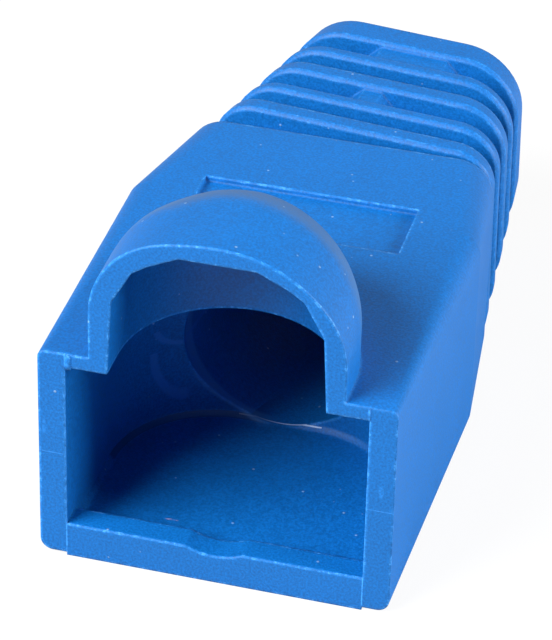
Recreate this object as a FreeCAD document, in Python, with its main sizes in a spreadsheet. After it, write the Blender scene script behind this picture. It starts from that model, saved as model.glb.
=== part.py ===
import FreeCAD, Part
import Sketcher
import math
import os

# Strain relief boot for a modular cable plug, moulded in one piece of soft PVC.
# Millimetres. X runs across the boot, +Y from the open mouth to the cable end, +Z up.
# The origin is on the floor plane, under the middle of the mouth.

DRIVING_SIZES = [
    # shell: the square sleeve that goes over the plug
    ("shell_height", 9.52),
    ("mouth_half_width", 7.02),
    ("shoulder_half_width", 7.33),
    ("waist_half_width", 6.52),
    ("waist_shift", 0.15),
    ("shoulder_station", 12.7),
    ("waist_station", 18.3),
    ("sole_step", 0.14),
    ("sole_length", 11.0),
    ("mouth_top_radius", 0.3),
    ("mouth_low_radius", 0.5),
    ("shoulder_top_radius", 0.9),
    ("shoulder_low_radius", 0.8),
    ("waist_top_radius", 1.6),
    ("waist_low_radius", 0.9),
    # cavity for the plug
    ("side_wall", 1.08),
    ("roof_thickness", 0.59),
    ("cavity_floor", 0.8),
    ("cavity_depth", 9.9),
    ("cavity_corner_radius", 4.4),
    ("floor_chamfer", 0.2),
    ("lip_height", 1.52),
    ("lip_thickness", 1.1),
    ("scoop_radius", 2.6),
    ("scoop_depth", 0.27),
    # hood over the plug's latch
    ("hood_half_width", 5.0),
    ("hood_crown", 15.35),
    ("hood_right_side_radius", 3.9),
    ("hood_left_side_radius", 3.6),
    # how much larger than its half width the radius of the hood's crown is, right and left
    ("hood_right_flattening", 0.27),
    ("hood_left_flattening", 5.0),
    ("hood_roll_radius", 3.3),
    ("hood_length", 6.6),
    # the hood's walls: how far in, and below its own crown, the hollow's facets meet
    ("hood_crown_wall", 0.73),
    ("hood_back_wall", 0.75),
    ("hood_foot_wall", 0.7),
    ("hood_side_wall", 0.9),
    ("hollow_side_drop", 2.42),
    ("hollow_haunch_inset", 1.7),
    ("hollow_haunch_drop", 0.97),
    ("hollow_facet_inset", 2.3),
    ("hollow_facet_drop", 0.57),
    ("hollow_flat_inset", 3.5),
    ("hollow_roof_chamfer", 1.6),
    # bare label recess in the roof
    ("recess_half_width", 4.44),
    ("recess_start", 10.54),
    ("recess_length", 3.38),
    ("recess_depth", 0.25),
    # ribbed tail, in its own frame that starts at the waist
    ("tail_lean", 3.5),
    ("tail_twist", 1.6),
    ("tail_length", 10.4),
    ("tail_shift", 0.2),
    ("tail_root_half_width", 6.25),
    ("tail_end_half_width", 5.0),
    ("tail_root_foot_spread", 0.3),
    ("tail_end_foot_spread", 0.15),
    ("tail_root_top", 9.46),
    ("tail_end_top", 9.33),
    ("tail_root_bottom", 0.3),
    ("tail_end_bottom", 0.6),
    ("tail_root_top_radius", 1.5),
    ("tail_end_top_radius", 2.8),
    ("tail_root_left_radius", 1.6),
    ("tail_end_left_radius", 2.6),
    ("tail_root_low_radius", 0.9),
    ("tail_end_low_radius", 2.6),
    ("groove_count", 5),
    ("groove_pitch", 1.9),
    ("groove_width", 1.1),
    ("groove_depth", 0.9),
    ("rib_front_chamfer", 0.15),
    ("rib_back_chamfer", 0.25),
    ("end_chamfer", 0.3),
    ("web_drop", 0.28),
    ("web_slope", 0.6),
    ("narrow_web_half_width", 0.4),
    ("narrow_web_shift", -0.35),
    ("wide_web_half_width", 1.5),
    ("wide_web_shift", 0.35),
    ("root_overlap", 0.6),
    # cable way
    ("bore_radius", 2.9),
    ("throat_step", 0.25),
    ("funnel_radius", 3.94),
    ("bore_height", 4.76),
]

document = FreeCAD.newDocument("strain_relief_boot")
sheet = document.addObject("Spreadsheet::Sheet", "sizes")
for row, (alias, number) in enumerate(DRIVING_SIZES, start=1):
    sheet.set(f"A{row}", alias)
    sheet.set(f"B{row}", str(number))
    sheet.setAlias(f"B{row}", alias)
document.recompute()


def size(expression):
    """The value that an expression over the sheet's sizes has now."""
    return float(sheet.evalExpression(expression))


def settle(feature):
    """Recompute, and stop at once where a feature failed."""
    document.recompute()
    failed = "Invalid" in feature.State or "Error" in feature.State
    if failed or feature.Shape.isNull() or not feature.Shape.isValid():
        raise RuntimeError(f"{feature.Name} failed: {feature.State}")
    return feature


def origin_part(body, role):
    """The body's own origin plane or axis with this role."""
    for feature in body.Origin.OriginFeatures:
        if feature.Role == role:
            return feature
    raise LookupError(role)


def new_body(name):
    body = document.addObject("PartDesign::Body", name)
    body.Label = name
    body.AllowCompound = True
    return body


def new_sketch(body, name, plane, offset):
    """A sketch on one of the body's origin planes, moved along its normal by an expression."""
    sketch = body.newObject("Sketcher::SketchObject", name)
    sketch.AttachmentSupport = [(origin_part(body, plane), "")]
    sketch.MapMode = "FlatFace"
    sketch.setExpression("AttachmentOffset.Base.z", offset)
    return sketch


def cross_sketch(body, name, station):
    """A sketch across the boot at a station along +Y; the plane's normal is -Y."""
    return new_sketch(body, name, "XZ_Plane", f"-({station})")


def constrain(sketch, kind, *places, to=None):
    """Add one constraint; with to, it is a dimension bound to that expression."""
    if to is None:
        sketch.addConstraint(Sketcher.Constraint(kind, *places))
        return
    index = sketch.addConstraint(Sketcher.Constraint(kind, *places, size(to)))
    sketch.setExpression(f"Constraints[{index}]", to)


def vector(x, y):
    return FreeCAD.Vector(x, y, 0)


def draw_arc(sketch, x, y, radius, start, end):
    """A counter-clockwise arc, with its angles in degrees."""
    ring = Part.Circle(vector(x, y), FreeCAD.Vector(0, 0, 1), radius)
    return sketch.addGeometry(Part.ArcOfCircle(ring, math.radians(start), math.radians(end)))


def draw_outline(sketch, points, close=True):
    """Straight edges from point to point, joined at their ends."""
    ends = points[1:] + points[:1] if close else points[1:]
    lines = [
        sketch.addGeometry(Part.LineSegment(vector(*start), vector(*end)))
        for start, end in zip(points, ends)
    ]
    for line, following in zip(lines, lines[1:] + lines[:1] if close else lines[1:]):
        constrain(sketch, "Coincident", line, 2, following, 1)
    return lines


ORIGIN = (-1, 1)


def on_middle(sketch, kind, *places):
    """Tie geometry to the sketch's vertical axis, which every sketch has as its geometry -2."""
    constrain(sketch, kind, *places, -2)


def rounded_section(body, name, station, half_width, low, high, low_radius, high_radius,
                    foot_half_width=None, left_radius=None, shift=None):
    """A rectangle with rounded corners, on the middle plane or moved along X by shift.

    Its sides may spread to another half width at the foot, and its upper left corner may
    have a radius of its own.
    """
    sketch = cross_sketch(body, name, station)
    foot_half_width = foot_half_width or half_width
    left_radius = left_radius or high_radius
    a, foot, b, t = size(half_width), size(foot_half_width), size(low), size(high)
    r, q, p = size(low_radius), size(high_radius), size(left_radius)

    def side(start, end):
        return sketch.addGeometry(Part.LineSegment(vector(*start), vector(*end)))

    chain = [
        side((r - foot, b), (foot - r, b)),
        draw_arc(sketch, foot - r, b + r, r, -90, 0),
        side((foot, b + r), (a, t - q)),
        draw_arc(sketch, a - q, t - q, q, 0, 90),
        side((a - q, t), (p - a, t)),
        draw_arc(sketch, p - a, t - p, p, 90, 180),
        side((-a, t - p), (-foot, b + r)),
        draw_arc(sketch, r - foot, b + r, r, 180, 270),
    ]
    bottom, low_right, right, high_right, top, high_left, left, low_left = chain
    if shift:
        sketch.setExpression("AttachmentOffset.Base.x", shift)
    for edge, following in zip(chain, chain[1:] + chain[:1]):
        constrain(sketch, "Tangent", edge, 2, following, 1)
    constrain(sketch, "Horizontal", top)
    on_middle(sketch, "Symmetric", bottom, 1, bottom, 2)
    constrain(sketch, "Equal", low_right, low_left)
    constrain(sketch, "Radius", low_right, to=low_radius)
    constrain(sketch, "Radius", high_right, to=high_radius)
    constrain(sketch, "Radius", high_left, to=left_radius)
    constrain(sketch, "DistanceX", *ORIGIN, right, 1, to=foot_half_width)
    constrain(sketch, "DistanceX", *ORIGIN, right, 2, to=half_width)
    constrain(sketch, "DistanceX", left, 1, *ORIGIN, to=half_width)
    constrain(sketch, "DistanceY", *ORIGIN, bottom, 1, to=low)
    constrain(sketch, "DistanceY", *ORIGIN, top, 1, to=high)
    return sketch


def mirrored_outline(sketch, corners):
    """A closed outline even about the vertical axis, from the corners of its right half.

    Each corner is a pair of expressions, (half width, height), from the foot up.
    """
    right = [(size(x), size(z)) for x, z in corners]
    left = [(-x, z) for x, z in reversed(right)]
    lines = draw_outline(sketch, right + left)
    for number, (x, z) in enumerate(corners):
        constrain(sketch, "DistanceX", *ORIGIN, lines[number], 1, to=x)
        constrain(sketch, "DistanceY", *ORIGIN, lines[number], 1, to=z)
        mirror = lines[len(lines) - 1 - number]
        on_middle(sketch, "Symmetric", lines[number], 1, mirror, 1)
    return lines


def rectangle(sketch, half_width, low, high):
    """A rectangle even about the vertical axis."""
    return mirrored_outline(sketch, [(half_width, low), (half_width, high)])


def circle(sketch, radius, height):
    """A full circle on the middle plane."""
    ring = sketch.addGeometry(
        Part.Circle(vector(0, size(height)), FreeCAD.Vector(0, 0, 1), size(radius))
    )
    on_middle(sketch, "PointOnObject", ring, 3)
    constrain(sketch, "DistanceY", *ORIGIN, ring, 3, to=height)
    constrain(sketch, "Radius", ring, to=radius)


def pad(body, name, sketch, length, reverse=True):
    """Material from the sketch towards +Y, or along its normal if not reversed."""
    feature = body.newObject("PartDesign::Pad", name)
    feature.Profile = sketch
    feature.setExpression("Length", length)
    feature.Reversed = reverse
    return settle(feature)


def pocket(body, name, sketch, length, reverse=False):
    """A cut from the sketch towards +Y, or along its normal if reversed, that must remove material."""
    before = body.Shape.Volume
    feature = body.newObject("PartDesign::Pocket", name)
    feature.Profile = sketch
    feature.setExpression("Length", length)
    feature.Reversed = reverse
    settle(feature)
    if body.Shape.Volume >= before:
        raise RuntimeError(f"{name} cuts nothing")
    return feature


def loft(body, name, sections, kind="Additive"):
    feature = body.newObject(f"PartDesign::{kind}Loft", name)
    feature.Profile = sections[0]
    feature.Sections = sections[1:]
    feature.Ruled = True
    return settle(feature)


def dress(body, name, kind, amount, chosen):
    """Fillet or chamfer the edges of the body's tip that the function chosen picks."""
    base = body.Tip
    edges = [
        f"Edge{number}"
        for number, edge in enumerate(base.Shape.Edges, start=1)
        if chosen(edge)
    ]
    if not edges:
        raise RuntimeError(f"{name} finds no edge")
    feature = body.newObject(f"PartDesign::{kind}", name)
    feature.Base = (base, edges)
    feature.setExpression("Radius" if kind == "Fillet" else "Size", amount)
    return settle(feature)


def combine(body, name, kind, others):
    feature = body.newObject("PartDesign::Boolean", name)
    feature.setObjects(others)
    feature.Type = kind
    return settle(feature)


TOLERANCE = 0.01
HOOD_CENTRE = "(sizes.hood_length - sizes.hood_half_width)"
HOLLOW_FOOT = "(sizes.shell_height - 2 * sizes.roof_thickness)"
HOLLOW_CROWN = "(sizes.hood_crown - sizes.hood_crown_wall)"


def lies_at(edge, axis, place):
    """Whether the whole edge has this coordinate along the axis, 0 to 2 for X to Z."""
    box = edge.BoundBox
    low = (box.XMin, box.YMin, box.ZMin)[axis]
    high = (box.XMax, box.YMax, box.ZMax)[axis]
    return abs(low - place) < TOLERANCE and abs(high - place) < TOLERANCE


def springing(top_radius, side_radius):
    """The height where the hood's upright side turns into its arch."""
    return (
        f"(sizes.hood_crown - {top_radius} + sqrt(({top_radius} - {side_radius}) ^ 2"
        f" - (sizes.hood_half_width - {side_radius}) ^ 2))"
    )


def make_hood():
    """The blister over the latch: an arch along +Y, round in plan, its crown rolled over."""
    body = new_body("hood")
    foot_height = "sizes.shell_height - sizes.roof_thickness / 2"
    a, foot, crown = size("sizes.hood_half_width"), size(foot_height), size("sizes.hood_crown")
    right_top = "(sizes.hood_half_width + sizes.hood_right_flattening)"
    left_top = "(sizes.hood_half_width + sizes.hood_left_flattening)"
    right_side, left_side = "sizes.hood_right_side_radius", "sizes.hood_left_side_radius"
    right_spring, left_spring = springing(right_top, right_side), springing(left_top, left_side)
    big, small, spring = size(right_top), size(right_side), size(right_spring)
    turn = math.degrees(math.atan2(spring + big - crown, a - small))
    wide, tight, rise = size(left_top), size(left_side), size(left_spring)
    left_turn = math.degrees(math.atan2(rise + wide - crown, a - tight))

    arch = cross_sketch(body, "hood_arch", "0")
    chain = [
        arch.addGeometry(Part.LineSegment(vector(-a, foot), vector(a, foot))),
        arch.addGeometry(Part.LineSegment(vector(a, foot), vector(a, spring))),
        draw_arc(arch, a - small, spring, small, 0, turn),
        draw_arc(arch, 0, crown - big, big, turn, 90),
        draw_arc(arch, 0, crown - wide, wide, 90, 180 - left_turn),
        draw_arc(arch, tight - a, rise, tight, 180 - left_turn, 180),
        arch.addGeometry(Part.LineSegment(vector(-a, rise), vector(-a, foot))),
    ]
    base, right, haunch, crown_right, crown_left, left_haunch, left = chain
    constrain(arch, "Coincident", base, 2, right, 1)
    constrain(arch, "Coincident", left, 2, base, 1)
    for edge, following in zip(chain[1:], chain[2:]):
        constrain(arch, "Tangent", edge, 2, following, 1)
    constrain(arch, "Horizontal", base)
    constrain(arch, "Vertical", right)
    constrain(arch, "Vertical", left)
    on_middle(arch, "PointOnObject", crown_right, 3)
    on_middle(arch, "PointOnObject", crown_right, 2)
    constrain(arch, "Radius", crown_right, to=right_top)
    constrain(arch, "Radius", haunch, to=right_side)
    constrain(arch, "Radius", crown_left, to=left_top)
    constrain(arch, "Radius", left_haunch, to=left_side)
    constrain(arch, "DistanceX", *ORIGIN, right, 1, to="sizes.hood_half_width")
    constrain(arch, "DistanceX", left, 2, *ORIGIN, to="sizes.hood_half_width")
    constrain(arch, "DistanceY", *ORIGIN, right, 1, to=foot_height)
    constrain(arch, "DistanceY", *ORIGIN, crown_right, 2, to="sizes.hood_crown")
    pad(body, "hood_block", arch, "sizes.hood_length + sizes.hood_half_width")
    round_in_plan(body, "hood", "sizes.hood_half_width", HOOD_CENTRE)
    low = min(spring, rise) - TOLERANCE

    def crown_edge(edge):
        middle = edge.valueAt((edge.FirstParameter + edge.LastParameter) / 2)
        return edge.BoundBox.ZMin > low and middle.y > TOLERANCE

    dress(body, "hood_roll", "Fillet", "sizes.hood_roll_radius", crown_edge)
    return body


def make_hollow():
    """What the hood leaves free: a facetted arch, also round in plan and rolled over."""
    body = new_body("hood_hollow")
    arch = cross_sketch(body, "hollow_arch", "-sizes.lip_thickness")
    mirrored_outline(arch, [
        ("sizes.hood_half_width - sizes.hood_foot_wall", HOLLOW_FOOT),
        ("sizes.hood_half_width - sizes.hood_side_wall", f"{HOLLOW_CROWN} - sizes.hollow_side_drop"),
        ("sizes.hood_half_width - sizes.hollow_haunch_inset",
         f"{HOLLOW_CROWN} - sizes.hollow_haunch_drop"),
        ("sizes.hood_half_width - sizes.hollow_facet_inset",
         f"{HOLLOW_CROWN} - sizes.hollow_facet_drop"),
        ("sizes.hood_half_width - sizes.hollow_flat_inset", HOLLOW_CROWN),
    ])
    pad(body, "hollow_block", arch, "sizes.hood_length + sizes.lip_thickness")
    combine(body, "hollow_form", "Common", [make_hollow_dome()])
    return body


def make_hollow_dome():
    """A round-topped drum about the hood's centre, with a straight run out to the mouth."""
    body = new_body("hollow_dome")
    radius = "sizes.hood_half_width - sizes.hood_back_wall"
    chamfer = "sizes.hollow_roof_chamfer"
    r, c, low, top = size(radius), size(chamfer), size(HOLLOW_FOOT), size(HOLLOW_CROWN)
    profile = cross_sketch(body, "dome_profile", HOOD_CENTRE)
    base, side, slant, lid, axis = draw_outline(
        profile, [(0, low), (r, low), (r, top - c), (r - c, top), (0, top)]
    )
    constrain(profile, "Horizontal", base)
    constrain(profile, "Vertical", side)
    constrain(profile, "Horizontal", lid)
    on_middle(profile, "PointOnObject", base, 1)
    on_middle(profile, "PointOnObject", axis, 1)
    constrain(profile, "DistanceX", *ORIGIN, side, 1, to=radius)
    constrain(profile, "DistanceY", *ORIGIN, side, 1, to=HOLLOW_FOOT)
    constrain(profile, "DistanceY", side, 2, slant, 2, to=chamfer)
    constrain(profile, "DistanceX", slant, 2, slant, 1, to=chamfer)
    constrain(profile, "DistanceY", *ORIGIN, lid, 1, to=HOLLOW_CROWN)
    drum = body.newObject("PartDesign::Revolution", "drum")
    drum.Profile = profile
    drum.ReferenceAxis = (profile, ["V_Axis"])
    drum.Angle = 360
    settle(drum)
    run = cross_sketch(body, "run_outline", "-sizes.lip_thickness")
    rectangle(run, "sizes.hood_half_width - sizes.hood_foot_wall", HOLLOW_FOOT, HOLLOW_CROWN)
    pad(body, "run", run, f"{HOOD_CENTRE} + sizes.lip_thickness")
    return body


def round_in_plan(body, name, radius, centre):
    """Cut the body's far end to a half circle in plan, with straight sides before it."""
    plan = new_sketch(body, f"{name}_plan", "XY_Plane", "sizes.hood_crown + sizes.roof_thickness")
    r, y = size(radius), size(centre)
    far = y + 2 * r
    chain = [
        plan.addGeometry(Part.LineSegment(vector(r, y), vector(2 * r, y))),
        plan.addGeometry(Part.LineSegment(vector(2 * r, y), vector(2 * r, far))),
        plan.addGeometry(Part.LineSegment(vector(2 * r, far), vector(-2 * r, far))),
        plan.addGeometry(Part.LineSegment(vector(-2 * r, far), vector(-2 * r, y))),
        plan.addGeometry(Part.LineSegment(vector(-2 * r, y), vector(-r, y))),
        draw_arc(plan, 0, y, r, 0, 180),
    ]
    near_right, right, back, left, near_left, arc = chain
    for edge, following in zip(chain[:4], chain[1:5]):
        constrain(plan, "Coincident", edge, 2, following, 1)
    constrain(plan, "Coincident", near_left, 2, arc, 2)
    constrain(plan, "Coincident", arc, 1, near_right, 1)
    for edge in (right, left):
        constrain(plan, "Vertical", edge)
    on_middle(plan, "PointOnObject", arc, 3)
    on_middle(plan, "Symmetric", back, 1, back, 2)
    constrain(plan, "Horizontal", arc, 1, arc, 3)
    constrain(plan, "Horizontal", arc, 2, arc, 3)
    constrain(plan, "Radius", arc, to=radius)
    constrain(plan, "DistanceY", *ORIGIN, arc, 3, to=centre)
    constrain(plan, "DistanceX", *ORIGIN, right, 1, to=f"2 * {radius}")
    constrain(plan, "DistanceY", *ORIGIN, back, 1, to=f"{centre} + 2 * {radius}")
    pocket(body, f"{name}_round", plan, "sizes.hood_crown")


def make_shell():
    """The sleeve: flat sides that flare to the shoulder and taper to the waist, softer as they go."""
    body = new_body("strain_relief_boot")
    low = "sizes.sole_step"
    high = "sizes.shell_height"
    sections = [
        rounded_section(
            body, f"{place}_section", f"sizes.{place}_station" if place != "mouth" else "0",
            f"sizes.{place}_half_width", low, high,
            f"sizes.{place}_low_radius", f"sizes.{place}_top_radius",
            shift="sizes.waist_shift" if place == "waist" else None,
        )
        for place in ("mouth", "shoulder", "waist")
    ]
    loft(body, "sleeve", sections)
    return body


def tail_value(kind, distance):
    """One of the tail's values, such as half_width or top_radius, at a distance from the waist."""
    root, end = f"sizes.tail_root_{kind}", f"sizes.tail_end_{kind}"
    return f"({root} + ({end} - {root}) * ({distance}) / sizes.tail_length)"


def tail_section(body, name, distance, inset):
    """The tail's outline at a distance from the waist, smaller all round by inset."""
    half_width = f"{tail_value('half_width', distance)} - {inset}"
    return rounded_section(
        body, name, distance, half_width,
        f"{tail_value('bottom', distance)} + {inset}",
        f"{tail_value('top', distance)} - {inset}",
        tail_value("low_radius", distance),
        tail_value("top_radius", distance),
        foot_half_width=f"{half_width} + {tail_value('foot_spread', distance)}",
        left_radius=tail_value("left_radius", distance),
    )


def seat_on_waist(body):
    """Place a body of the tail's frame at the waist, leaning to one side as the soft tail does."""
    body.Placement = FreeCAD.Placement(
        FreeCAD.Vector(size("sizes.tail_shift"), size("sizes.waist_station"), 0),
        FreeCAD.Rotation(-size("sizes.tail_lean"), size("sizes.tail_twist"), 0),
        FreeCAD.Vector(0, 0, size("sizes.bore_height")),
    )


def bore_sketch(body, name, station, radius):
    sketch = cross_sketch(body, name, station)
    circle(sketch, radius, "sizes.bore_height")
    return sketch


def groove_start(number):
    return f"(sizes.groove_pitch * {number})"


def make_ribs():
    """The tail's outer form, slotted into four ribs and a collar."""
    body = new_body("ribs")
    loft(body, "tail_envelope", [
        tail_section(body, "rib_root_section", "0", "0"),
        tail_section(body, "rib_end_section", "sizes.tail_length", "0"),
    ])
    slot = new_sketch(body, "slot_outline", "YZ_Plane", "-2 * sizes.shell_height")
    across = "2 * sizes.shell_height"
    y, z = size("sizes.groove_width"), size(across)
    lines = draw_outline(slot, [(0, -z), (y, -z), (y, z), (0, z)])
    for line in lines[::2]:
        constrain(slot, "Horizontal", line)
    for line in lines[1::2]:
        constrain(slot, "Vertical", line)
    on_middle(slot, "PointOnObject", lines[0], 1)
    constrain(slot, "DistanceX", *ORIGIN, lines[1], 1, to="sizes.groove_width")
    constrain(slot, "DistanceY", lines[0], 1, *ORIGIN, to=across)
    constrain(slot, "DistanceY", *ORIGIN, lines[2], 1, to=across)
    pocket(body, "slot", slot, "4 * sizes.shell_height", reverse=True)
    pattern = body.newObject("PartDesign::LinearPattern", "slots")
    pattern.Originals = [body.Tip]
    pattern.Direction = (origin_part(body, "Y_Axis"), [""])
    pattern.setExpression("Length", "sizes.groove_pitch * (sizes.groove_count - 1)")
    pattern.setExpression("Occurrences", "sizes.groove_count")
    body.Tip = pattern
    settle(pattern)
    count = round(size("sizes.groove_count"))
    fronts = [size(f"{groove_start(n)} + sizes.groove_width") for n in range(count)]
    backs = [size(groove_start(n)) for n in range(2, count, 2)]
    dress(body, "rib_fronts", "Chamfer", "sizes.rib_front_chamfer",
          lambda edge: any(lies_at(edge, 1, place) for place in fronts))
    dress(body, "rib_backs", "Chamfer", "sizes.rib_back_chamfer",
          lambda edge: any(lies_at(edge, 1, place) for place in backs))
    dress(body, "collar_end", "Chamfer", "sizes.end_chamfer",
          lambda edge: lies_at(edge, 1, size("sizes.tail_length")))
    return body


# the grooves, counted from the waist as 0, that have a web from rib to rib, and its kind
WEBS = [("narrow", 2), ("wide", 4)]


def make_core():
    """What holds the ribs: a smaller tapered core, with webs to the surface in two grooves."""
    body = new_body("core")
    loft(body, "core_form", [
        tail_section(body, "core_root_section", "-sizes.root_overlap", "sizes.groove_depth"),
        tail_section(
            body, "core_end_section",
            "sizes.tail_length - sizes.end_chamfer", "sizes.groove_depth",
        ),
    ])
    for kind, number in WEBS:
        start = groove_start(number)
        half_width = f"sizes.{kind}_web_half_width"
        low, high = tail_value("bottom", start), tail_value("top", start)
        web = cross_sketch(body, f"{kind}_web_outline", start)
        web.setExpression("AttachmentOffset.Base.x", f"sizes.{kind}_web_shift")
        mirrored_outline(web, [
            (half_width, f"{low} + sizes.web_drop"),
            (f"{half_width} + sizes.web_slope", f"{low} + sizes.groove_depth"),
            (f"{half_width} + sizes.web_slope", f"{high} - sizes.groove_depth"),
            (half_width, f"{high} - sizes.web_drop"),
        ])
        pad(body, f"{kind}_web", web, "sizes.groove_width")
    return body


def add_sole(body):
    """The floor between the side walls stands a little proud underneath."""
    outline = cross_sketch(body, "sole_outline", "0")
    sole = [("sizes.mouth_half_width - sizes.side_wall", "sizes.sole_step + sizes.cavity_floor / 2"),
            ("sizes.mouth_half_width - sizes.side_wall", "0")]
    mirrored_outline(outline, sole)
    pad(body, "sole", outline, "sizes.sole_length")


def cut_mouth(body):
    """The way in for the plug: over a low lip, then down to the cavity's floor."""
    roof = "sizes.shell_height - sizes.roof_thickness"
    half = "sizes.mouth_half_width - sizes.side_wall"
    entry = cross_sketch(body, "entry_outline", "0")
    rectangle(entry, half, "sizes.lip_height", roof)
    pocket(body, "entry", entry, "sizes.lip_thickness")

    plan = new_sketch(body, "cavity_plan", "XY_Plane", "sizes.cavity_floor")
    a, r = size(half), size("sizes.cavity_corner_radius")
    front, back = size("sizes.lip_thickness"), size("sizes.cavity_depth")
    chain = [
        plan.addGeometry(Part.LineSegment(vector(-a, front), vector(a, front))),
        plan.addGeometry(Part.LineSegment(vector(a, front), vector(a, back - r))),
        draw_arc(plan, a - r, back - r, r, 0, 90),
        plan.addGeometry(Part.LineSegment(vector(a - r, back), vector(r - a, back))),
        draw_arc(plan, r - a, back - r, r, 90, 180),
        plan.addGeometry(Part.LineSegment(vector(-a, back - r), vector(-a, front))),
    ]
    lip, right, corner, rear, mirror_corner, left = chain
    constrain(plan, "Coincident", lip, 2, right, 1)
    constrain(plan, "Coincident", left, 2, lip, 1)
    for edge, following in zip(chain[1:], chain[2:]):
        constrain(plan, "Tangent", edge, 2, following, 1)
    on_middle(plan, "Symmetric", lip, 1, lip, 2)
    constrain(plan, "Vertical", right)
    constrain(plan, "Vertical", left)
    constrain(plan, "Equal", corner, mirror_corner)
    constrain(plan, "Radius", corner, to="sizes.cavity_corner_radius")
    constrain(plan, "DistanceX", *ORIGIN, lip, 2, to=half)
    constrain(plan, "DistanceY", *ORIGIN, lip, 2, to="sizes.lip_thickness")
    constrain(plan, "DistanceY", *ORIGIN, rear, 1, to="sizes.cavity_depth")
    constrain(plan, "Horizontal", rear)
    pocket(body, "cavity", plan, f"{roof} - sizes.cavity_floor", reverse=True)
    floor = size("sizes.cavity_floor")
    dress(body, "floor_bevel", "Chamfer", "sizes.floor_chamfer",
          lambda edge: lies_at(edge, 2, floor) and lies_at(edge, 1, back))


def cut_scoop(body):
    """The shallow dip in the middle of the lip."""
    outline = cross_sketch(body, "scoop_outline", "0")
    circle(outline, "sizes.scoop_radius",
           "sizes.lip_height - sizes.scoop_depth + sizes.scoop_radius")
    pocket(body, "scoop", outline, "sizes.lip_thickness")


def cut_cable_way(body):
    """A funnel from the cavity to the waist, then a round bore along the leaning tail."""
    throat = "sizes.bore_radius + sizes.throat_step"
    corner = "sizes.cavity_depth - sizes.cavity_corner_radius"
    loft(body, "funnel", [
        bore_sketch(body, "funnel_start", corner, "sizes.funnel_radius"),
        bore_sketch(body, "funnel_mouth", "sizes.cavity_depth", "sizes.funnel_radius"),
        bore_sketch(body, "funnel_throat", "sizes.waist_station", throat),
    ], kind="Subtractive")
    bore = new_body("cable_bore")
    outline = bore_sketch(bore, "bore_outline", "-sizes.throat_step", "sizes.bore_radius")
    pad(bore, "bore_form", outline, "sizes.tail_length + 2 * sizes.throat_step")
    seat_on_waist(bore)
    combine(body, "bore", "Cut", [bore])


def cut_recess(body):
    """The shallow field for a label in the roof, left bare."""
    plan = new_sketch(body, "recess_plan", "XY_Plane", "sizes.shell_height")
    rectangle(plan, "sizes.recess_half_width", "sizes.recess_start",
              "sizes.recess_start + sizes.recess_length")
    pocket(body, "recess", plan, "sizes.recess_depth")


boot = make_shell()
hood = make_hood()
hollow = make_hollow()
ribs = make_ribs()
core = make_core()
for tail_body in (ribs, core):
    seat_on_waist(tail_body)
combine(boot, "outer_form", "Fuse", [hood, core, ribs])
add_sole(boot)
cut_mouth(boot)
cut_scoop(boot)
combine(boot, "hood_opening", "Cut", [hollow])
cut_cable_way(boot)
cut_recess(boot)
document.recompute()

for item in document.Objects:
    if "Invalid" in item.State or "Error" in item.State:
        raise RuntimeError(f"{item.Name} failed: {item.State}")
if boot.Shape.isNull() or not boot.Shape.isValid() or len(boot.Shape.Solids) != 1:
    raise RuntimeError(f"{boot.Label} is not one sound solid")

os.makedirs("parts", exist_ok=True)
boot.Shape.exportStep(f"parts/{boot.Label}.step")
print(boot.Label, "volume", round(boot.Shape.Volume, 2), boot.Shape.BoundBox)
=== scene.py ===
import math

import bpy
from mathutils import Matrix, Vector


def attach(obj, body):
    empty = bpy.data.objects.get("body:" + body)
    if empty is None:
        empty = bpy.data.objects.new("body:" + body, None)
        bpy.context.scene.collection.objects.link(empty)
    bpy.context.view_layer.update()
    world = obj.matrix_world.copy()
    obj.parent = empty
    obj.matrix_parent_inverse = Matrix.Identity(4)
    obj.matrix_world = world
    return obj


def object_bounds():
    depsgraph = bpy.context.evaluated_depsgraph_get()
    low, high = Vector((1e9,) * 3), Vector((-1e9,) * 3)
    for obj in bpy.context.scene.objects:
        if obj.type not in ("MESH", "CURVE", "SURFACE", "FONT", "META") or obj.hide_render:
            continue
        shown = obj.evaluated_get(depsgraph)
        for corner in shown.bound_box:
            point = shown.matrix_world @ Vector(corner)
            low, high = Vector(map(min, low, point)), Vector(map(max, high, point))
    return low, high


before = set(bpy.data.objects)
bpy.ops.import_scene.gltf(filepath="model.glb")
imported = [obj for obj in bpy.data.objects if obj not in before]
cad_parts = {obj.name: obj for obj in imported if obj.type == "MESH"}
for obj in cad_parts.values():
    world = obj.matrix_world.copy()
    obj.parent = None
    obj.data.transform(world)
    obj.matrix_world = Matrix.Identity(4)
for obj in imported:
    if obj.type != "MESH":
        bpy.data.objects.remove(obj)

MM = 0.001
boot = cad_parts["strain_relief_boot"]
cad_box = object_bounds()

# places on the boot that its finish follows, in millimetres
CAVITY_HALF_WIDTH = 5.94
FUNNEL_RADIUS = 3.94
FUNNEL_HEIGHT = 4.76
FUNNEL_MOUTH = 9.87
PARTING_HEIGHT = 4.85


# ---------------------------------------------------------------- small helpers

def colour(code):
    """An sRGB hex value as the linear colour that the shaders work in."""
    parts = [int(code[i:i + 2], 16) / 255 for i in (1, 3, 5)]
    return [v / 12.92 if v <= 0.04045 else ((v + 0.055) / 1.055) ** 2.4 for v in parts] + [1.0]


def add_node(tree, kind, links=None, **settings):
    """One shader node: its settings, its plain input values, and what feeds its inputs."""
    node = tree.nodes.new(kind)
    for name, value in settings.items():
        setattr(node, name, value)
    for socket, source in (links or {}).items():
        if isinstance(source, bpy.types.NodeSocket):
            tree.links.new(source, node.inputs[socket])
        else:
            node.inputs[socket].default_value = source
    return node


def new_material(name):
    """An empty node material with its output node."""
    material = bpy.data.materials.new(name)
    material.use_nodes = True
    material.node_tree.nodes.clear()
    return material, material.node_tree, material.node_tree.nodes.new("ShaderNodeOutputMaterial")


# ---------------------------------------------------------------- finishes

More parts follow.
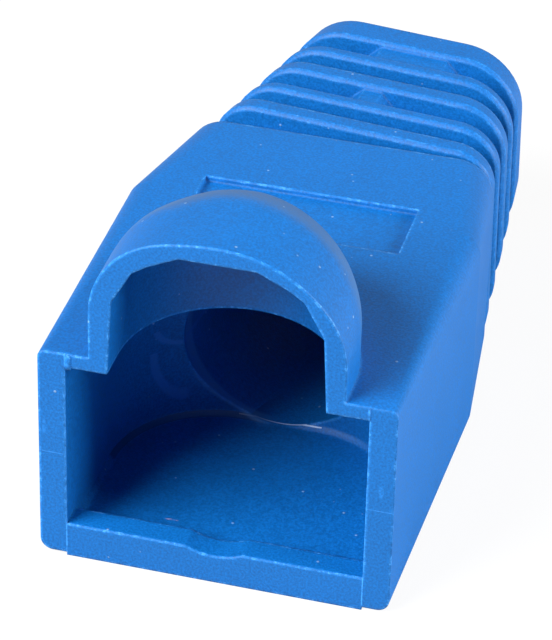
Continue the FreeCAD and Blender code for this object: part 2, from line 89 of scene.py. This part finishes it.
def between(tree, value, low, high, start=0.0, end=1.0, smooth=True):
    """Takes value from low..high to start..end, and holds it there outside."""
    kind = "SMOOTHSTEP" if smooth else "LINEAR"
    return add_node(tree, "ShaderNodeMapRange", {
        "Value": value, "From Min": low, "From Max": high, "To Min": start, "To Max": end,
    }, interpolation_type=kind).outputs["Result"]


def combined(tree, operation, *values):
    """Two or more values put together by one sum, product, least or greatest."""
    result = values[0]
    for value in values[1:]:
        result = add_node(tree, "ShaderNodeMath", {0: result, 1: value}, operation=operation).outputs[0]
    return result


def stripe(tree, value, place, reach):
    """1 where the value is within reach of the place, and 0 elsewhere."""
    return add_node(tree, "ShaderNodeMath", {0: value, 1: place, 2: reach}, operation="COMPARE").outputs[0]


def squared(tree, value, place, scale):
    """The square of the distance from the place, counted in scales."""
    steps = combined(tree, "DIVIDE", combined(tree, "SUBTRACT", value, place), scale)
    return combined(tree, "MULTIPLY", steps, steps)


def painted(tree, base, share, code):
    """The base colour with a share of another laid over it."""
    return add_node(tree, "ShaderNodeMix", {
        "Factor": share, "A": base, "B": colour(code),
    }, data_type="RGBA").outputs["Result"]


def noise(tree, place, size, detail, roughness):
    """A noise whose patches are about this many millimetres across."""
    return add_node(tree, "ShaderNodeTexNoise", {
        "Vector": place, "Scale": 1 / (size * MM), "Detail": detail, "Roughness": roughness,
    }).outputs["Fac"]


def painted_hood_sheen(tree, base, z):
    """The hood's rolled crown, where it leans back out of the light, is painted a greyish blue: a painted
    sheen with painted shade.
    """
    surface = add_node(tree, "ShaderNodeNewGeometry").outputs["Normal"]
    backward = add_node(tree, "ShaderNodeSeparateXYZ", {"Vector": surface}).outputs["Y"]
    sheen_share = combined(tree, "MULTIPLY", between(tree, backward, 0.02, 0.25),
                       between(tree, backward, 0.8, 0.5), between(tree, z, 9.8, 12.0), 0.45)
    return painted(tree, base, sheen_share, "#4A6684")


def edge_highlights_and_wear(tree, base, wear_and_highlight_noise):
    """The outer edges are painted paler: a painted highlight where the light rolls over them, partly worn,
    with small paler flecks.
    """
    depth = add_node(tree, "ShaderNodeAmbientOcclusion", {"Distance": 0.13 * MM}, samples=8, inside=True)
    edge = between(tree, depth.outputs["AO"], 0.96, 0.72)
    painted_edge_highlight = combined(tree, "MULTIPLY", edge, between(tree, wear_and_highlight_noise, 0.38, 0.6, 0.1, 0.75))
    base = painted(tree, base, painted_edge_highlight, "#1C80D6")
    flecks = combined(tree, "MULTIPLY", edge, between(tree, wear_and_highlight_noise, 0.54, 0.62), 0.55)
    return painted(tree, base, flecks, "#54A8F2")


def funnel_rim_highlights(tree, base, x, y, z):
    """The rim of the cable's funnel is rounded: a painted highlight makes it paler on the left, and a
    painted glint shines at its foot.
    """
    foot = combined(tree, "MULTIPLY", stripe(tree, y, FUNNEL_MOUTH, 0.035), stripe(tree, z, 0.86, 0.12),
                    between(tree, x, -1.4, 0.6, 0.2, 0.9), stripe(tree, x, 0, 1.75))
    base = painted(tree, base, foot, "#B9D2EE")
    around = combined(tree, "ADD", squared(tree, x, 0, FUNNEL_RADIUS),
                      squared(tree, z, FUNNEL_HEIGHT, FUNNEL_RADIUS))
    rim = combined(tree, "MULTIPLY", between(tree, squared(tree, around, 1.0, 0.1), 1.0, 0.0),
                   between(tree, y, 9.3, 9.6), between(tree, y, 10.3, 10.1),
                   between(tree, x, 0, -1.5), 0.5)
    return painted(tree, base, rim, "#4A86C4")


def grip_outlines(tree, base, x, y, z):
    """Two curved outlines of a cable grip on the cavity's left rear corner, one above the other.
    Nothing limits them to the cavity, so they also show faintly on the tail's left side."""
    corner = combined(tree, "MULTIPLY", between(tree, y, 7.4, 7.8), between(tree, x, -3.6, -3.9), 0.7)
    for middle, half_width, half_height, low, high in (
        (4.3, 1.05, 2.35, 1.5, 4.3), (5.35, 0.95, 0.85, 4.4, 5.3),
    ):
        oval = combined(tree, "ADD", squared(tree, x, -3.9, half_width),
                        squared(tree, z, middle, half_height))
        grip = combined(tree, "MULTIPLY", between(tree, squared(tree, oval, 1.0, 0.3), 1.0, 0.1), corner,
                        stripe(tree, z, (low + high) / 2, (high - low) / 2))
        base = painted(tree, base, grip, "#2A6EC0")
    return base


def scuffs_and_fibre(tree, base, x, y, z, wear_and_highlight_noise):
    """A scuff on each side wall's front face, and a fibre that lies on the cavity's floor.
    The fibre has no lower limit, so it also falls on the sole beneath."""
    for along, centre, radius, across, centre_2, radius_2, shade in (
        (x, 6.5, 0.12, z, 5.75, 0.3, "#1A7CD2"),
        (x, -6.8, 0.09, z, 6.0, 0.4, "#1672C4"),
        (x, -2.38, 0.3, y, 2.36, 0.05, "#9A8AA8"),
    ):
        spot = combined(tree, "ADD", squared(tree, along, centre, radius),
                        squared(tree, across, centre_2, radius_2))
        spot = combined(tree, "MULTIPLY", between(tree, spot, 1.2, 0.3), stripe(tree, y, 1.2, 1.3),
                        between(tree, z, 7.0, 6.8), between(tree, wear_and_highlight_noise, 0.4, 0.55, 0.1, 0.8))
        base = painted(tree, base, spot, shade)
    return base


def flash_lines(tree, x, y, z, wear_and_highlight_noise):
    """Where the tool's slides met: in the planes of the cavity's side walls, and across the
    walls' front faces halfway up."""
    aside = squared(tree, x, 0, CAVITY_HALF_WIDTH)
    upright = stripe(tree, aside, 1.0, 0.009)
    outside = combined(tree, "GREATER_THAN", aside, 1.0)
    level = combined(tree, "MULTIPLY", stripe(tree, z, PARTING_HEIGHT, 0.02), outside, 0.6)
    return combined(tree, "MULTIPLY", combined(tree, "MAXIMUM", upright, level),
                    between(tree, y, 0.12, 0.04), between(tree, wear_and_highlight_noise, 0.35, 0.6, 0.2, 0.9))


def dust(tree, place):
    """Pale specks of 0.05 to 0.1 mm, about one on every few square millimetres."""
    cells = add_node(tree, "ShaderNodeTexVoronoi", {
        "Vector": place, "Scale": 1 / (0.7 * MM), "Randomness": 1.0}).outputs
    draw = add_node(tree, "ShaderNodeSeparateColor", {"Color": cells["Color"]}).outputs["Red"]
    return combined(tree, "MULTIPLY", between(tree, cells["Distance"], 0.10, 0.05),
                    between(tree, draw, 0.64, 0.66))


def soft_pvc():
    """Plasticised PVC, moulded in a spark-eroded tool: a dull, slightly waxy blue with a fine grain."""
    material, tree, output = new_material("soft_pvc_spark_textured_blue")
    place = add_node(tree, "ShaderNodeTexCoord").outputs["Object"]
    in_mm = add_node(tree, "ShaderNodeVectorMath", {0: place, 3: 1 / MM}, operation="SCALE")
    x, y, z = add_node(tree, "ShaderNodeSeparateXYZ", {"Vector": in_mm.outputs["Vector"]}).outputs

    # the tool's grain is about 0.1 mm, and the flow of the melt leaves patches 2 to 3 mm across
    grain = noise(tree, place, 0.095, 2.0, 0.6)
    wear_and_highlight_noise = noise(tree, place, 0.3, 4.0, 0.75)
    base = painted(tree, colour("#005AA0"), noise(tree, place, 2.6, 3.0, 0.55), "#0062AE")
    speckle = between(tree, grain, 0.35, 0.65, 0.78, 1.22, smooth=False)
    base = add_node(tree, "ShaderNodeVectorMath", {0: base, 3: speckle}, operation="SCALE")
    # painted sheen and painted shade on the hood's rolled crown
    base = painted_hood_sheen(tree, base.outputs["Vector"], z)
    # paler edges: a painted highlight, partly worn, broken into flecks
    base = edge_highlights_and_wear(tree, base, wear_and_highlight_noise)

    # painted shade: the bevel at the foot of the cavity's left rear corner is out of the light, so it is
    # painted darker; nothing limits it to the cavity, so a dark line of painted shade also runs along the
    # left wall's foot and the ribs
    bevel = combined(tree, "MULTIPLY", stripe(tree, z, 0.91, 0.105), between(tree, y, 5.4, 5.6),
                     between(tree, x, 0, -1.5))
    base = painted(tree, base, bevel, "#00437B")
    # a painted highlight on the funnel's rim and a painted glint at its foot
    base = funnel_rim_highlights(tree, base, x, y, z)
    base = grip_outlines(tree, base, x, y, z)
    base = scuffs_and_fibre(tree, base, x, y, z, wear_and_highlight_noise)
    flash = flash_lines(tree, x, y, z, wear_and_highlight_noise)
    base = painted(tree, base, flash, "#3894EC")
    speck = dust(tree, place)
    base = painted(tree, base, combined(tree, "MULTIPLY", speck, 0.35), "#A9C6E2")

    # edges of a soft moulding are never quite sharp: the light rolls over them
    rounded = add_node(tree, "ShaderNodeBevel", {"Radius": 0.2 * MM}, samples=8).outputs["Normal"]
    raised = combined(tree, "MAXIMUM", speck, flash)
    height = combined(tree, "ADD", grain, combined(tree, "MULTIPLY", raised, 1.5))
    bump = add_node(tree, "ShaderNodeBump", {
        "Strength": 0.6, "Distance": 0.015 * MM, "Height": height, "Normal": rounded,
    }).outputs["Normal"]
    shader = add_node(tree, "ShaderNodeBsdfPrincipled", {
        "Base Color": base, "Roughness": between(tree, grain, 0.3, 0.7, 0.46, 0.58, smooth=False),
        "IOR": 1.53, "Specular IOR Level": 0.3, "Normal": bump,
    })
    tree.links.new(shader.outputs["BSDF"], output.inputs["Surface"])
    return material


def white_paper():
    """A smooth white sheet: plain white to the camera, with the soft shadow that the boot leaves on it."""
    material, tree, output = new_material("white_paper_sheet")
    paper = add_node(tree, "ShaderNodeBsdfDiffuse", {"Color": colour("#B8B8B8"), "Roughness": 0.0})
    glow = add_node(tree, "ShaderNodeEmission", {"Color": colour("#FFFFFF"), "Strength": 1.13})
    path = add_node(tree, "ShaderNodeLightPath")
    share = combined(tree, "MULTIPLY", path.outputs["Is Camera Ray"], 0.8)
    mixed = add_node(tree, "ShaderNodeMixShader", {0: share, 1: paper.outputs[0], 2: glow.outputs[0]})
    tree.links.new(mixed.outputs[0], output.inputs["Surface"])
    return material


def moulded_bar(name, x, low, high, width, material):
    """A thin upright bar of flash on the front face, from low to high, half sunk into it; millimetres."""
    bpy.ops.object.select_all(action="DESELECT")
    bpy.ops.mesh.primitive_cube_add(size=1)
    bar = bpy.context.object
    bar.name = name
    bar.data.transform(Matrix.Diagonal((width * MM, 0.08 * MM, (high - low) * MM, 1)))
    bar.data.transform(Matrix.Translation(Vector((x, 0, (low + high) / 2)) * MM))
    rounding = bar.modifiers.new("rounding", "BEVEL")
    rounding.width = 0.03 * MM
    rounding.segments = 3
    bpy.ops.object.modifier_apply(modifier=rounding.name)
    bpy.ops.object.shade_smooth()
    bar.data.materials.append(material)
    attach(bar, "root")


pvc = soft_pvc()
boot.data.materials.clear()
boot.data.materials.append(pvc)
moulded_bar("flash_bar_left", -5.80, 8.84, 9.50, 0.24, pvc)
moulded_bar("flash_bar_right", 5.92, 8.93, 9.50, 0.10, pvc)


# ---------------------------------------------------------------- floor, camera and light

bpy.ops.object.select_all(action="DESELECT")
bpy.ops.mesh.primitive_plane_add(size=1.2, location=(0, 0, cad_box[0][2]))
floor = bpy.context.object
floor.name = "floor"
floor.data.materials.append(white_paper())


def turned_camera():
    """A camera that looks into the mouth from above and to the right, turned a little on its own axis."""
    azimuth, elevation, roll = math.radians(14.477), math.radians(33.893), math.radians(1.527)
    target = Vector((2.2528, 0, 12.7021)) * MM
    level = Vector((math.sin(azimuth), -math.cos(azimuth), 0))
    back = level * math.cos(elevation) + Vector((0, 0, math.sin(elevation)))
    right = Vector((math.cos(azimuth), math.sin(azimuth), 0))
    up = back.cross(right)
    right, up = (
        math.cos(roll) * right + math.sin(roll) * up,
        math.cos(roll) * up - math.sin(roll) * right,
    )
    data = bpy.data.cameras.new("camera")
    data.sensor_fit = "VERTICAL"
    data.sensor_height = 24
    data.lens = 131.66
    data.clip_start = 0.005
    data.clip_end = 5
    camera = bpy.data.objects.new("camera", data)
    bpy.context.scene.collection.objects.link(camera)
    place = Matrix((right, up, back)).transposed().to_4x4()
    place.translation = target + back * 128.697 * MM
    camera.matrix_world = place
    bpy.context.scene.camera = camera


def soft_box(name, place, aim, width, height, power):
    """A rectangular studio lamp at place, turned towards aim, both in millimetres."""
    data = bpy.data.lights.new(name, "AREA")
    data.shape = "RECTANGLE"
    data.size, data.size_y = width * MM, height * MM
    data.energy = power
    lamp = bpy.data.objects.new(name, data)
    bpy.context.scene.collection.objects.link(lamp)
    lamp.location = Vector(place) * MM
    lamp.rotation_euler = (Vector(aim) - Vector(place)).to_track_quat("-Z", "Y").to_euler()


turned_camera()
soft_box("key_lamp", (-150, -145, 175), (0, 8, 6), 190, 150, 1.68)
soft_box("side_lamp", (250, 0, 90), (0, 12, 6), 150, 120, 1.1)

world = bpy.data.worlds.new("studio")
bpy.context.scene.world = world
world.use_nodes = True
sky = world.node_tree
sky.nodes.clear()
ray = add_node(sky, "ShaderNodeLightPath").outputs
room = add_node(sky, "ShaderNodeBackground", {"Color": colour("#FFFFFF"), "Strength": 0.08}).outputs[0]
shine = add_node(sky, "ShaderNodeBackground", {"Color": colour("#FFFFFF"), "Strength": 0.8}).outputs[0]
backdrop = add_node(sky, "ShaderNodeBackground", {"Color": colour("#FFFFFF"), "Strength": 1.0}).outputs[0]
lit = add_node(sky, "ShaderNodeMixShader", {0: ray["Is Glossy Ray"], 1: room, 2: shine}).outputs[0]
seen = add_node(sky, "ShaderNodeMixShader", {0: ray["Is Camera Ray"], 1: lit, 2: backdrop}).outputs[0]
add_node(sky, "ShaderNodeOutputWorld", {"Surface": seen})

bpy.context.scene.view_settings.view_transform = "Standard"
